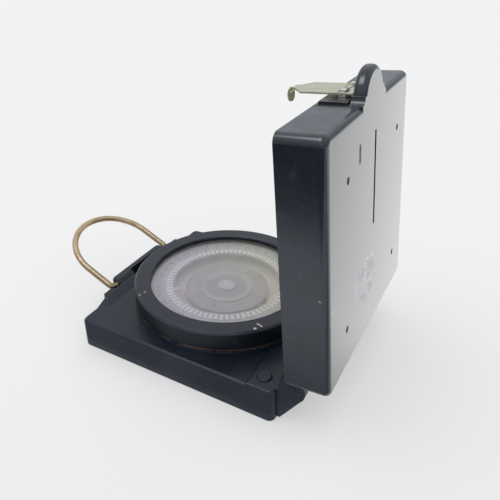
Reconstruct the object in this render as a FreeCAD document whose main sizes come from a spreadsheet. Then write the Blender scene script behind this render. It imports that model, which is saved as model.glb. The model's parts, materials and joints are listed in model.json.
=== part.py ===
import FreeCAD, Part
import math
import os
import Sketcher
from types import SimpleNamespace
from FreeCAD import Placement, Rotation, Vector

# Geology compass with a hinged mirror lid, millimetres.
# Origin: on the dial's axis, at the underside of the base.  +X runs to the hinge, +Z up, and the
# straight edge at -Y is the working edge.  The lid and the catch are drawn about their own hinge
# axes with the lid shut, and the lid's placement then opens it.

SIZES = dict(
    # base case
    half_length=29.5, bail_end=30.9, half_width=30.0, base_top=8.8, base_corner=1.8, base_edge=1.0,
    foot_edge=0.4, ramp_start=27.6, ramp_crest=0.5, ramp_top=9.95, ramp_run=3.0,
    land_length=7.5, land_top=9.5, land_edge=0.5, well_radius=25.0, well_floor=3.0,
    # bottom cover
    cover_half_length=26.5, cover_half_width=26.5, cover_thick=1.0, cover_gap=0.1, cover_corner=3.0,
    cover_screw_across=23.5, cover_screw_along=17.0, screw_radius=0.7, screw_head=1.25,
    cover_screw_length=4.0,
    # hinge
    axis_across=33.18, axis_height=10.64, lug_inner=20.2, lug_outer=28.0, lug_radius=3.4,
    lug_root=28.0, lug_foot=0.8, lug_knee=30.4, lug_shoulder=29.75, lug_nose=45.0, lug_brow=27.0,
    pin_radius=1.0, pin_proud=0.25,
    barrel_half=19.6, barrel_radius=3.2, barrel_bore=1.05, washer_inner=19.75, washer_thick=0.3,
    washer_radius=2.9,
    # bezel seat and bezel
    bezel_radius=27.1, seat_inner=24.15, seat_top=10.3, seat_screw_circle=26.0, seat_screw_angle=45.0,
    seat_screw_radius=0.5,
    seat_screw_head=0.9, seat_screw_foot=6.0, bezel_bottom=10.4, bezel_top=16.3, bezel_window=22.4,
    bezel_bore=23.4, bezel_lip=15.2, bezel_edge=0.5, skirt_radius=24.05, skirt_lip=24.7,
    skirt_lip_top=8.4, skirt_bottom=7.2, mark_radius=0.42, mark_proud=0.06, mark_outer=26.3,
    mark_inner=24.6, mark_angle=-127.8, mark_slant=1.8, stroke_angle=-42.1, stroke_gap=2.2,
    stroke_lean=25.0, stroke_length=1.9, stroke_width=0.4,
    # glass, ring and their holders
    glass_radius=23.2, glass_bottom=14.0, glass_top=15.0, gasket_inner=22.6, ring_clear=23.32,
    spacer_bottom=13.2, ring_bottom=12.4, ring_inner=15.8, carrier_inner=20.0, carrier_bottom=11.3,
    snap_bottom=10.8, snap_inner=22.5, snap_gap=3.0,
    pointer_inner=12.85, pointer_outer=17.6, pointer_width=1.7, pointer_bottom=11.95, pointer_angle=-141.0,
    wave_inner=23.5, wave_outer=24.7, wave_bottom=6.2, wave_thick=0.3, wave_leg=0.35, wave_leg_width=2.5,
    wave_leg_angle=22.0,
    # dial plate, bridge, post, collar
    plate_radius=22.2, plate_bottom=8.55, plate_top=9.15, bridge_half=23.3, bridge_width=7.0,
    bridge_bottom=5.7, bridge_top=6.5, bridge_foot=20.4, bridge_screw_circle=22.0, bridge_screw_radius=0.6,
    bridge_screw_head=1.2, bridge_screw_proud=0.5, bridge_screw_depth=2.0,
    column_radius=3.2, column_neck=2.6, column_bore=2.02, column_top=9.62, post_radius=1.2,
    post_shoulder=9.8, post_tip=11.7, collar_inner=1.27, collar_outer=1.95, collar_bottom=4.8,
    collar_top=10.0, collar_flange=3.4, collar_flange_thick=0.4,
    # card
    card_radius=12.4, card_bottom=10.7, card_top=11.2, hub_radius=7.8, hub_top=11.5, jewel_bore=1.6,
    jewel_foot=10.9, jewel_recess=1.25, jewel_apex=11.95, cap_radius=2.6, cap_top=12.4,
    magnet_length=16.0, magnet_width=1.8, magnet_height=0.98, magnet_offset=4.3,
    rivet_circle=9.5, rivet_radius=0.55, rivet_proud=0.12, rivet_angle=97.0,
    # clinometer pendulum
    swing_inner=2.66, swing_outer=4.0, swing_bottom=9.27, swing_top=9.52, bob_radius=11.8,
    bob_spread=50.0, tip_inner=14.7, tip_outer=15.5, tip_top=11.6, tip_spread=17.0, arm_width=2.4,
    swing_angle=5.0,
    # lock plunger and lift lever
    plunger_reach=36.05, lever_angle=314.4, plunger_head=1.9, plunger_bore=1.96, plunger_top=9.95,
    plunger_neck=8.6, plunger_stem=1.1, plunger_guide=1.16, plunger_bottom=4.8, plunger_step=6.2,
    plunger_edge=0.3, spring_wire=0.13, spring_radius=1.5, spring_turns=4.0, spring_floor=6.22,
    spring_ceiling=8.58, tunnel_bottom=3.2, tunnel_top=5.1, tunnel_half=1.5, lever_bottom=4.3,
    lever_top=4.7, lever_width=1.8, lever_reach=36.9, fork_outer=3.1, fork_inner=2.0, fork_slot=1.35,
    fork_mouth=4.05, fork_play=0.1, cheek_proud=1.0,
    fulcrum=12.0, fulcrum_radius=0.45, fulcrum_bore=0.5, fulcrum_half=2.4, cheek_inner=1.1,
    cheek_outer=2.1, cheek_half=1.4, lever_hub=0.75,
    # bail
    bail_across=-32.5, bail_height=9.2, bail_radius=14.1, bail_wire=0.95, bail_straight=10.1,
    bail_bend=1.6, bail_foot=8.8, bail_bore=1.0, bail_tilt=25.0, block_half=12.1, block_outer=-35.0,
    block_bottom=6.2, block_top=10.9, block_edge=1.0, block_corner=1.5, block_slope=1.2,
    slot_half=5.25, slot_inner=-30.3, slot_outer=-32.8, ear_inner=15.35, ear_outer=18.8, ear_reach=-32.7,
    ear_bottom=5.2, ear_step=0.4, ear_top=10.1, ear_edge=1.2, notch_half=2.5, notch_floor=-27.2,
    # lid, measured from its hinge axis with the lid shut
    lid_gap=2.4, lid_length=60.35, lid_depth=10.56, rim_drop=0.64, lid_wall=1.5, lid_skin=1.5,
    lid_corner=2.2, lid_edge=1.6, lid_open=86.0, web_top=3.2, ear_radius=7.0, ear_thick=3.06, ear_round=1.2,
    ear_root=2.0, sight_near=29.18, sight_far=52.58, sight_width=1.1, sight_across=1.2,
    ear_fillet=1.6, lug_notch=3.7, lug_play=0.2,
    # mirror and its fixings
    mirror_near=5.88, mirror_length=50.0, mirror_half=25.5, mirror_thick=1.0, backing_thick=0.5,
    lid_screw_along=19.2, lid_screw_near=11.18, lid_screw_far=47.58, lid_screw_radius=0.6,
    lid_screw_head=0.85, lid_screw_sink=0.12, lid_screw_foot=2.0, nut_radius=1.6, nut_thick=0.7,
    # spring catch
    catch_height=4.5, catch_stand=1.5, bracket_half=7.8, bracket_thick=0.5, bracket_low=0.5,
    bracket_high=7.0, knuckle_radius=0.8, knuckle_inner=2.6, knuckle_outer=4.1, catch_pin=0.35,
    catch_bore=0.4, pin_head=0.12, catch_barrel=0.72, catch_barrel_half=1.3, leaf_half=4.75, leaf_thick=0.45,
    leaf_high=7.1, leaf_low=-5.0, hip_half=3.0, hip_low=-6.4, neck_low=-7.3, neck_half=1.7, hook_low=-9.4,
    hook_round=1.5, hook_reach=3.6,
    window_inner=1.4, window_outer=4.25, window_half=1.15, coil_inner=0.42, coil_outer=0.68,
    coil_near=1.5, coil_far=2.5, ear_rivet_radius=0.6, ear_rivet_along=2.3, ear_rivet_out=3.6,
)

CLEAR_THROUGH = 40.0
LAP = 0.5
NEAR = 0.05
QUARTER = 90
FULL_TURN = 360


class Size:
    """A length that carries its number and the sheet formula that it comes from."""

    def __init__(self, number, formula):
        self.number = number
        self.formula = formula

    def joined(self, sign, other, number):
        return Size(number, f"({self.formula} {sign} {other.formula})")

    def __add__(self, other):
        other = as_size(other)
        return self.joined("+", other, self.number + other.number)

    def __sub__(self, other):
        other = as_size(other)
        return self.joined("-", other, self.number - other.number)

    def __mul__(self, other):
        other = as_size(other)
        return self.joined("*", other, self.number * other.number)

    def __truediv__(self, other):
        other = as_size(other)
        return self.joined("/", other, self.number / other.number)

    def __radd__(self, other):
        return as_size(other) + self

    def __rsub__(self, other):
        return as_size(other) - self

    def __rmul__(self, other):
        return as_size(other) * self

    def __neg__(self):
        return Size(-self.number, f"(0 - {self.formula})")


def as_size(item):
    return item if isinstance(item, Size) else Size(float(item), f"({float(item)})")


def cosine(angle):
    angle = as_size(angle)
    return Size(math.cos(math.radians(angle.number)), f"cos({angle.formula})")


def sine(angle):
    angle = as_size(angle)
    return Size(math.sin(math.radians(angle.number)), f"sin({angle.formula})")


def write_sheet(document):
    sheet = document.addObject("Spreadsheet::Sheet", "Dimensions")
    for row, (word, number) in enumerate(SIZES.items(), start=1):
        sheet.set(f"A{row}", word)
        sheet.set(f"B{row}", str(number))
        sheet.setAlias(f"B{row}", word)
    document.recompute()
    return SimpleNamespace(**{word: Size(number, f"Dimensions.{word}") for word, number in SIZES.items()})


doc = FreeCAD.newDocument("GeologyCompass")
d = write_sheet(doc)
PIECES = []
ALONG_Y = Rotation(Vector(1, 0, 0), -QUARTER)
ALONG_X = Rotation(Vector(0, 1, 0), QUARTER)
UPRIGHT = Rotation(Vector(1, 0, 0), QUARTER)


# ---------------------------------------------------------------- shared helpers

def bind(item, path, size):
    item.setExpression(path, as_size(size).formula)


def put(item, place):
    for letter, size in zip("xyz", place):
        bind(item, f"Placement.Base.{letter}", size)
    return item


def turn(item, angle, axis=Vector(0, 0, 1)):
    item.Placement = Placement(item.Placement.Base, Rotation(axis, as_size(angle).number))
    bind(item, "Placement.Rotation.Angle", angle)
    return item


def rod(name, radius, length, place=(0, 0, 0), rotation=Rotation(), sweep=FULL_TURN):
    item = doc.addObject("Part::Cylinder", name)
    bind(item, "Radius", radius)
    bind(item, "Height", length)
    bind(item, "Angle", sweep)
    item.Placement = Placement(Vector(), rotation)
    return put(item, place)


def cone(name, low_radius, high_radius, length, place=(0, 0, 0), rotation=Rotation()):
    item = doc.addObject("Part::Cone", name)
    bind(item, "Radius1", low_radius)
    bind(item, "Radius2", high_radius)
    bind(item, "Height", length)
    item.Placement = Placement(Vector(), rotation)
    return put(item, place)


def block(name, low, high):
    item = doc.addObject("Part::Box", name)
    for key, start, end in zip(("Length", "Width", "Height"), low, high):
        bind(item, key, as_size(end) - start)
    return put(item, low)


def cut(name, base, *tools):
    item = doc.addObject("Part::Cut", name)
    item.Base = base
    item.Tool = tools[0] if len(tools) == 1 else fuse(name + "Tools", *tools)
    return item


def fuse(name, *shapes):
    item = doc.addObject("Part::MultiFuse", name)
    item.Shapes = list(shapes)
    return item


def tube(name, inner, outer, low, high):
    """A flat ring about the dial's axis."""
    body = rod(name + "Outside", outer, high - low, (0, 0, low))
    bore = rod(name + "Bore", inner, high - low + 2 * LAP, (0, 0, low - LAP))
    return cut(name, body, bore)


def ring_part(name, radius, wire, place, rotation=Rotation(), sweep=FULL_TURN):
    """A round wire bent about Z, or a part of one turn of it."""
    item = doc.addObject("Part::Torus", name)
    bind(item, "Radius1", radius)
    bind(item, "Radius2", wire)
    item.Angle3 = sweep
    item.Placement = Placement(Vector(), rotation)
    return put(item, place)


def piece(item, label):
    item.Label = label
    PIECES.append(item)
    return item


def origin_plane(body, role):
    return next(face for face in body.Origin.OriginFeatures if face.Role == role)


def outline(body, role, points, name):
    """A closed sketch whose corners are tied to the sheet, two lengths each."""
    sketch = body.newObject("Sketcher::SketchObject", name)
    sketch.AttachmentSupport = [(origin_plane(body, role), "")]
    sketch.MapMode = "FlatFace"
    sizes = [(as_size(a), as_size(b)) for a, b in points]
    corners = [Vector(a.number, b.number, 0) for a, b in sizes]
    count = len(corners)
    for index in range(count):
        sketch.addGeometry(Part.LineSegment(corners[index], corners[(index + 1) % count]), False)
    for index in range(count):
        sketch.addConstraint(Sketcher.Constraint("Coincident", index, 2, (index + 1) % count, 1))
    for index, pair in enumerate(sizes):
        for kind, size in zip(("DistanceX", "DistanceY"), pair):
            number = sketch.addConstraint(Sketcher.Constraint(kind, -1, 1, index, 1, size.number))
            sketch.setExpression(f"Constraints[{number}]", size.formula)
    doc.recompute()
    return sketch


def new_body(name):
    return doc.addObject("PartDesign::Body", name)


def pad(body, role, points, length, name, midplane=False):
    feature = body.newObject("PartDesign::Pad", name)
    feature.Profile = outline(body, role, points, name + "Sketch")
    feature.Midplane = midplane
    bind(feature, "Length", length)
    body.Tip = feature
    doc.recompute()
    return feature


def revolve(body, points, name):
    """A full turn of a profile of (radius, height) corners about the dial's axis."""
    feature = body.newObject("PartDesign::Revolution", name)
    feature.Profile = outline(body, "XZ_Plane", points, name + "Sketch")
    feature.ReferenceAxis = (feature.Profile[0], ["V_Axis"])
    feature.Angle = FULL_TURN
    body.Tip = feature
    doc.recompute()
    return feature


def edges_where(feature, test):
    return [f"Edge{number}" for number, edge in enumerate(feature.Shape.Edges, start=1) if test(edge)]


def rounded(body, base, test, radius, name):
    feature = body.newObject("PartDesign::Fillet", name)
    feature.Base = (base, edges_where(base, test))
    bind(feature, "Radius", radius)
    body.Tip = feature
    doc.recompute()
    return feature


def is_upright(edge):
    box = edge.BoundBox
    return box.XLength + box.YLength < NEAR and box.ZLength > LAP


def is_level(height):
    def test(edge):
        box = edge.BoundBox
        return box.ZLength < NEAR and abs(box.ZMin - height.number) < NEAR
    return test


def rectangle(low_x, low_y, high_x, high_y):
    return [(low_x, low_y), (high_x, low_y), (high_x, high_y), (low_x, high_y)]


def corners_of(across, along):
    return [(side_x * across, side_y * along) for side_x in (-1, 1) for side_y in (-1, 1)]


def around(circle, angle):
    return (circle * cosine(angle), circle * sine(angle))


# ---------------------------------------------------------------- base

def base_plate():
    body = new_body("BasePlate")
    plate = pad(body, "XY_Plane", rectangle(-d.bail_end, -d.half_width, d.half_length, d.half_width),
                d.base_top, "BaseSlab")
    plate = rounded(body, plate, is_upright, d.base_corner, "BaseCorners")
    plate = rounded(body, plate, is_level(d.base_top), d.base_edge, "BaseTopEdge")
    rounded(body, plate, is_level(as_size(0)), d.foot_edge, "BaseFootEdge")
    return body


def hinge_land():
    """The raised strip along the hinge end, which carries the lugs and the plunger."""
    body = new_body("HingeLand")
    start = d.half_length - d.land_length
    land = pad(body, "XY_Plane", rectangle(start, -d.half_width, d.half_length, d.half_width),
               d.land_top, "LandSlab")
    land = rounded(body, land, lambda edge: is_upright(edge) and edge.BoundBox.XMin > start.number + LAP,
                   d.base_corner, "LandCorners")
    land = rounded(body, land, is_level(d.land_top), d.land_edge, "LandTopEdge")
    rounded(body, land, is_level(as_size(0)), d.foot_edge, "LandFootEdge")
    return body


def hinge_lug(name, low, high):
    body = new_body(name + "Web")
    radius = d.lug_radius
    nose = (d.axis_across + radius * cosine(d.lug_nose), d.axis_height - radius * sine(d.lug_nose))
    brow = (d.axis_across - radius * cosine(d.lug_brow), d.axis_height + radius * sine(d.lug_brow))
    points = [(d.lug_root, d.lug_foot), (d.lug_knee, d.lug_foot), nose, (d.axis_across, d.axis_height),
              brow, (d.lug_shoulder, d.land_top), (d.lug_root, d.land_top)]
    pad(body, "XZ_Plane", points, high - low, name + "WebPad", midplane=True)
    put(body, (0, (low + high) / 2, 0))
    eye = rod(name + "Eye", radius, high - low, (d.axis_across, low, d.axis_height), ALONG_Y)
    return fuse(name, body, eye)


def bail_ramp():
    """The pad that slopes up from the case's top to the block and the ears of the bail."""
    low = d.base_top - d.base_edge
    deeper = d.base_edge / (d.ramp_top - d.base_top)
    crest = d.bail_end - d.ramp_crest
    half = d.ear_outer + d.ramp_run * (1 + deeper)
    item = doc.addObject("Part::Wedge", "BailRamp")
    for path, size in dict(Xmin=-d.bail_end, Xmax=(crest - d.ramp_start) * deeper - d.ramp_start,
                           Ymin=low, Ymax=d.ramp_top, Zmin=-half, Zmax=half, X2min=-d.bail_end,
                           X2max=-crest, Z2min=-d.ear_outer, Z2max=d.ear_outer).items():
        bind(item, path, size)
    item.Placement = Placement(Vector(), UPRIGHT)
    return item


def bail_ear(name, side):
    low, high = sorted((side * d.ear_inner, side * d.ear_outer), key=lambda size: size.number)
    body = new_body(name)
    ear = pad(body, "XZ_Plane", [(d.ear_reach, d.ear_bottom), (-d.bail_end + LAP, d.ear_bottom),
                                 (-d.bail_end + LAP, d.base_top - d.base_edge), (-d.bail_end, d.ramp_top),
                                 (-d.bail_end - d.ear_step, d.ear_top), (d.ear_reach, d.ear_top)],
              high - low, name + "Pad", midplane=True)
    rounded(body, ear, lambda edge: edge.BoundBox.XMax < d.ear_reach.number + NEAR,
            d.ear_edge, name + "Edges")
    return put(body, (0, (low + high) / 2, 0))


def plunger_place():
    return around(d.plunger_reach, d.lever_angle)


def tunnel_to_plunger():
    item = block("LeverTunnel", (0, 0, 0), (d.plunger_reach + d.tunnel_half - d.fulcrum,
                                            2 * d.tunnel_half, d.tunnel_top - d.tunnel_bottom))
    return on_lever_line(item, d.fulcrum, -d.tunnel_half, d.tunnel_bottom)


def slanted(along, across):
    """A place beside the lever's line: distance along it from the dial's axis, and to its left."""
    angle = d.lever_angle
    return (along * cosine(angle) - across * sine(angle), along * sine(angle) + across * cosine(angle))


def on_lever_line(item, along, across, height):
    turn(item, d.lever_angle)
    return put(item, (*slanted(along, across), height))


def cover_slab(name, gap):
    body = new_body(name)
    across = d.cover_half_length - gap
    along = d.cover_half_width - gap
    slab = pad(body, "XY_Plane", rectangle(-across, -along, across, along), d.cover_thick, name + "Pad")
    rounded(body, slab, is_upright, d.cover_corner, name + "Corners")
    return body


def screw(name, x, y, radius, head, foot, top, downward=True):
    """A countersunk screw along Z whose head is flush at top."""
    length = top - foot if downward else foot - top
    low = foot if downward else top
    shank = rod(name + "Shank", radius, length, (x, y, low))
    depth = head - radius
    if downward:
        sink = cone(name + "Head", radius, head, depth, (x, y, top - depth))
    else:
        sink = cone(name + "Head", head, radius, depth, (x, y, top))
    return fuse(name, shank, sink)


def cover_screws(name):
    return [screw(f"{name}{number}", x, y, d.screw_radius, d.screw_head, d.cover_screw_length, as_size(0),
                  downward=False)
            for number, (x, y) in enumerate(corners_of(d.cover_screw_across, d.cover_screw_along))]


def seat_screws(name):
    return [screw(f"{name}{number}", *around(d.seat_screw_circle, d.seat_screw_angle + QUARTER * number),
                  d.seat_screw_radius, d.seat_screw_head, d.seat_screw_foot, d.seat_top)
            for number in range(4)]


def bridge_pillars():
    """Two ledges inside the well that carry the bridge."""
    ring = tube("PillarRing", d.bridge_foot, d.well_radius + LAP, d.well_floor - LAP, d.bridge_bottom)
    half = d.bridge_width / 2
    band = block("PillarBand", (-d.well_radius - LAP, -half, d.well_floor - LAP),
                 (d.well_radius + LAP, half, d.bridge_bottom))
    item = doc.addObject("Part::Common", "BridgePillars")
    item.Base = ring
    item.Tool = band
    return item


def bridge_shanks(name):
    return [rod(f"{name}{number}", d.bridge_screw_radius,
                d.bridge_top - d.bridge_bottom + d.bridge_screw_depth,
                (side * d.bridge_screw_circle, 0, d.bridge_bottom - d.bridge_screw_depth))
            for number, side in enumerate((-1, 1))]


def plunger_hole():
    place = plunger_place()
    wide = rod("PlungerBore", d.plunger_bore, d.land_top - d.plunger_step + LAP, (*place, d.plunger_step))
    guide = rod("PlungerGuide", d.plunger_guide, d.plunger_step - d.tunnel_bottom,
                (*place, d.tunnel_bottom))
    return fuse("PlungerHole", wide, guide)


def base_case():
    solid = fuse("BaseSolid", base_plate(), hinge_land(), bail_ramp(),
                 hinge_lug("NearLug", -d.lug_outer, -d.lug_inner),
                 hinge_lug("FarLug", d.lug_inner, d.lug_outer),
                 bail_ear("NearEar", -1), bail_ear("FarEar", 1))
    well = rod("Well", d.well_radius, d.land_top, (0, 0, d.well_floor))
    land_relief = tube("LandRelief", d.seat_inner, d.bezel_radius + LAP / 2, d.base_top, d.bezel_bottom)
    hollow = cut("BaseHollow", solid, well, land_relief)
    walls = fuse("BaseWalls", hollow, bridge_pillars())
    notch = block("CatchNotch", (-d.bail_end - LAP, -d.notch_half, -LAP),
                  (d.notch_floor, d.notch_half, d.ramp_top + LAP))
    recess = block("LeafRecess", (-d.bail_end - LAP, -d.slot_half, -LAP),
                   (d.slot_inner, d.slot_half, d.ramp_top + LAP))
    pin_hole = rod("HingePinHole", d.pin_radius, 2 * d.lug_outer + 2 * LAP,
                   (d.axis_across, -d.lug_outer - LAP, d.axis_height), ALONG_Y)
    item = cut("BaseCase", walls, notch, recess, pin_hole, cover_slab("CoverRecess", as_size(0)),
               tunnel_to_plunger(), plunger_hole(), *cover_screws("CoverScrewHole"),
               *seat_screws("SeatScrewHole"), *bridge_shanks("BridgeHole"))
    piece(item, "base_case")


def base_fittings():
    cover = cut("BottomCover", cover_slab("CoverPlate", d.cover_gap), *cover_screws("CoverPlateHole"))
    piece(cover, "bottom_cover")
    piece(fuse("CoverScrews", *cover_screws("CoverScrew")), "bottom_cover_screws")
    ring = cut("SeatRing", tube("SeatRingBody", d.seat_inner, d.bezel_radius, d.base_top, d.seat_top),
               *seat_screws("SeatRingHole"))
    piece(ring, "bezel_seat_ring")
    piece(fuse("SeatScrews", *seat_screws("SeatScrew")), "seat_ring_screws")
    length = 2 * d.lug_outer
    pin = rod("HingePin", d.pin_radius, length, (d.axis_across, -d.lug_outer, d.axis_height), ALONG_Y)
    near = cone("PinNearEnd", d.pin_radius - d.pin_proud, d.pin_radius, d.pin_proud,
                (d.axis_across, -d.lug_outer - d.pin_proud, d.axis_height), ALONG_Y)
    far = cone("PinFarEnd", d.pin_radius, d.pin_radius - d.pin_proud, d.pin_proud,
               (d.axis_across, d.lug_outer, d.axis_height), ALONG_Y)
    piece(fuse("HingePinWhole", pin, near, far), "hinge_pin")
    piece(fuse("HingeWashers", hinge_washer("NearWasher", -d.washer_inner - d.washer_thick),
               hinge_washer("FarWasher", d.washer_inner)), "hinge_washers")


def hinge_washer(name, low):
    place = (d.axis_across, low, d.axis_height)
    disc = rod(name + "Disc", d.washer_radius, d.washer_thick, place, ALONG_Y)
    bore = rod(name + "Bore", d.pin_radius, d.washer_thick, place, ALONG_Y)
    return cut(name, disc, bore)


def bail_block():
    """The bored block that carries the bail, with a slot for the catch's leaf."""
    body = new_body("BailBlockBody")
    bar = pad(body, "XZ_Plane", [(d.block_outer, d.block_bottom), (-d.bail_end, d.block_bottom),
                                 (-d.bail_end, d.ramp_top), (-d.bail_end - d.block_slope, d.block_top),
                                 (d.block_outer, d.block_top)],
              2 * d.block_half, "BailBlockPad", midplane=True)
    limit = d.block_outer.number + NEAR
    bar = rounded(body, bar, lambda edge: is_upright(edge) and edge.BoundBox.XMax < limit,
                  d.block_corner, "BailBlockCorners")
    rounded(body, bar, lambda edge: edge.BoundBox.ZLength < NEAR and edge.BoundBox.XMin < limit,
            d.block_edge, "BailBlockEdges")
    slot = block("CatchSlot", (d.slot_outer, -d.slot_half, d.block_bottom - LAP),
                 (-d.bail_end + LAP, d.slot_half, d.block_top + LAP))
    bores = [rod(f"BailBore{number}", d.bail_bore, d.block_half - d.bail_foot + 2 * LAP,
                 (d.bail_across, low, d.bail_height), ALONG_Y)
             for number, low in enumerate((-d.block_half - LAP, d.bail_foot - LAP))]
    piece(cut("BailBlock", body, slot, *bores), "bail_block")


def pivot_group():
    half = d.bridge_width / 2
    bar = doc.addObject("Part::Common", "BridgeBar")
    bar.Base = rod("BridgeDisc", d.bridge_half, d.bridge_top - d.bridge_bottom, (0, 0, d.bridge_bottom))
    bar.Tool = block("BridgeBand", (-d.bridge_half, -half, d.bridge_bottom),
                     (d.bridge_half, half, d.bridge_top))
    column = rod("Column", d.column_radius, d.plate_bottom - d.bridge_bottom, (0, 0, d.bridge_bottom))
    neck = rod("ColumnNeck", d.column_neck, d.column_top - d.bridge_bottom, (0, 0, d.bridge_bottom))
    bore = rod("ColumnBore", d.column_bore, CLEAR_THROUGH)
    bridge = cut("Bridge", fuse("BridgeSolid", bar, column, neck), bore, *bridge_shanks("BridgePlateHole"))
    piece(bridge, "pivot_bridge")
    heads = [rod(f"BridgeScrewHead{number}", d.bridge_screw_head, d.bridge_screw_proud,
                 (side * d.bridge_screw_circle, 0, d.bridge_top)) for number, side in enumerate((-1, 1))]
    piece(fuse("BridgeScrews", *heads, *bridge_shanks("BridgeScrewShank")), "bridge_screws")
    shaft = rod("PostShaft", d.post_radius, d.post_shoulder - d.well_floor, (0, 0, d.well_floor))
    tip = cone("PostTip", d.post_radius, as_size(0), d.post_tip - d.post_shoulder, (0, 0, d.post_shoulder))
    piece(fuse("PivotPost", shaft, tip), "pivot_post")
    piece(tube("DialPlate", d.column_neck, d.plate_radius, d.plate_bottom, d.plate_top), "dial_plate")


def wave_spring():
    """A flat brake ring under the bezel's skirt, standing on four bent legs."""
    top = d.wave_bottom + d.wave_thick
    ring = tube("WaveRing", d.wave_inner, d.wave_outer, d.wave_bottom, top)
    half = d.wave_leg_width / 2
    rise = [block(f"WaveLeg{number}", (-half, -half, d.well_floor), (half, half, d.wave_bottom + NEAR))
            for number in range(4)]
    thin = tube("WaveLegShell", d.wave_outer - d.wave_leg, d.wave_outer, d.well_floor, top)
    for number, leg in enumerate(rise):
        angle = d.wave_leg_angle + QUARTER * number
        put(leg, (*[place - half for place in around(d.wave_outer, angle)], d.well_floor))
    legs = doc.addObject("Part::Common", "WaveLegs")
    legs.Base = thin
    legs.Tool = fuse("WaveLegBlocks", *rise)
    piece(fuse("WaveSpring", ring, legs), "bezel_wave_spring")


# ---------------------------------------------------------------- lock plunger, lever and collar

def lift_gear():
    place = plunger_place()
    head = cut("PlungerHeadCut", rod("PlungerHead", d.plunger_head, d.plunger_top - d.plunger_neck,
                                     (*place, d.plunger_neck)),
               plunger_rim("PlungerHeadRim", place))
    stem = rod("PlungerStem", d.plunger_stem, d.plunger_neck - d.plunger_bottom,
               (*place, d.plunger_bottom))
    piece(fuse("LockPlunger", head, stem), "lock_plunger")
    piece(coil_spring(), "plunger_spring")
    piece(lift_lever(), "lift_lever")
    piece(lever_bracket(), "lever_bracket")
    pin = rod("LeverPin", d.fulcrum_radius, 2 * d.fulcrum_half)
    piece(across_lever(pin, d.fulcrum_half), "lever_pin")
    sleeve = tube("CollarSleeve", d.collar_inner, d.collar_outer, d.collar_bottom, d.collar_top)
    flange = tube("CollarFlange", d.collar_inner, d.collar_flange, d.collar_bottom,
                  d.collar_bottom + d.collar_flange_thick)
    piece(fuse("LiftCollar", sleeve, flange), "lift_collar")


def plunger_rim(name, place):
    """What the chamfer takes off the plunger's head."""
    low = d.plunger_top - d.plunger_edge
    solid = rod(name + "Solid", d.plunger_head + LAP, d.plunger_edge + LAP, (*place, low))
    keep = cone(name + "Keep", d.plunger_head, d.plunger_head - d.plunger_edge - LAP,
                d.plunger_edge + LAP, (*place, low))
    return cut(name, solid, keep)


def coil_spring():
    """The plunger's return spring, a round wire wound as a helix."""
    rise = d.spring_ceiling.number - d.spring_floor.number - 2 * d.spring_wire.number
    helix = Part.makeHelix(rise / d.spring_turns.number, rise, d.spring_radius.number)
    start = Part.Circle(Vector(d.spring_radius.number, 0, 0), Vector(0, 1, 0), d.spring_wire.number)
    coil = Part.Wire(helix.Edges).makePipeShell([Part.Wire([start.toShape()])], True, True)
    item = doc.addObject("Part::Feature", "PlungerSpring")
    item.Shape = coil
    return put(item, (*plunger_place(), d.spring_floor + d.spring_wire))


def across_lever(item, half):
    """Lay a rod across the lever at its fulcrum."""
    spin = Rotation(Vector(0, 0, 1), d.lever_angle.number).multiply(ALONG_Y)
    item.Placement = Placement(Vector(), spin)
    middle = (d.lever_bottom + d.lever_top) / 2
    return put(item, (*slanted(d.fulcrum, -half), middle))


def lift_lever():
    half = d.lever_width / 2
    length = d.lever_reach - d.fork_outer
    strip = on_lever_line(block("LeverStrip", (0, 0, 0), (length, d.lever_width,
                                                          d.lever_top - d.lever_bottom)),
                          d.fork_outer, -half, d.lever_bottom)
    fork = on_lever_line(block("LeverFork", (0, 0, 0), (d.fork_outer + d.fork_inner + LAP,
                                                       2 * d.fork_outer,
                                                       d.lever_top - d.lever_bottom)),
                         -d.fork_inner, -d.fork_outer, d.lever_bottom)
    hub = across_lever(rod("LeverHub", d.lever_hub, d.lever_width), half)
    gap = d.collar_inner + d.fork_play
    slot = on_lever_line(block("LeverSlot", (0, 0, 0), (d.fork_mouth + d.fork_slot, 2 * gap,
                                                       d.lever_top - d.lever_bottom + LAP)),
                         -d.fork_mouth, -gap, d.lever_bottom - LAP / 2)
    bore = across_lever(rod("LeverBore", d.fulcrum_bore, 2 * d.fulcrum_half), d.fulcrum_half)
    return cut("LiftLever", fuse("LeverSolid", strip, fork, hub), slot, bore)


def lever_bracket():
    cheeks = []
    middle = (d.lever_bottom + d.lever_top) / 2
    for number, side in enumerate((-1, 1)):
        thick = d.cheek_outer - d.cheek_inner
        start = d.cheek_inner if side > 0 else -d.cheek_outer
        cheek = block(f"Cheek{number}", (0, 0, 0), (2 * d.cheek_half, thick,
                                                    middle + d.cheek_proud - d.well_floor))
        cheeks.append(on_lever_line(cheek, d.fulcrum - d.cheek_half, start, d.well_floor))
    bore = across_lever(rod("CheekBore", d.fulcrum_radius, 2 * d.fulcrum_half), d.fulcrum_half)
    return cut("LeverBracket", fuse("Cheeks", *cheeks), bore)


# ---------------------------------------------------------------- bezel, glass and graduated ring

def bezel_ring():
    body = new_body("BezelRing")
    edge = d.bezel_edge
    profile = [(d.bezel_bore, d.skirt_bottom), (d.skirt_lip, d.skirt_bottom),
               (d.skirt_lip, d.skirt_lip_top), (d.skirt_radius, d.skirt_lip_top),
               (d.skirt_radius, d.bezel_bottom), (d.bezel_radius - edge / 2, d.bezel_bottom),
               (d.bezel_radius, d.bezel_bottom + edge / 2), (d.bezel_radius, d.bezel_top - edge),
               (d.bezel_radius - edge, d.bezel_top), (d.bezel_window + edge / 2, d.bezel_top),
               (d.bezel_window, d.bezel_top - edge / 2), (d.bezel_window, d.bezel_lip),
               (d.bezel_bore, d.bezel_lip)]
    revolve(body, profile, "BezelProfile")
    piece(body, "bezel_ring")


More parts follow.
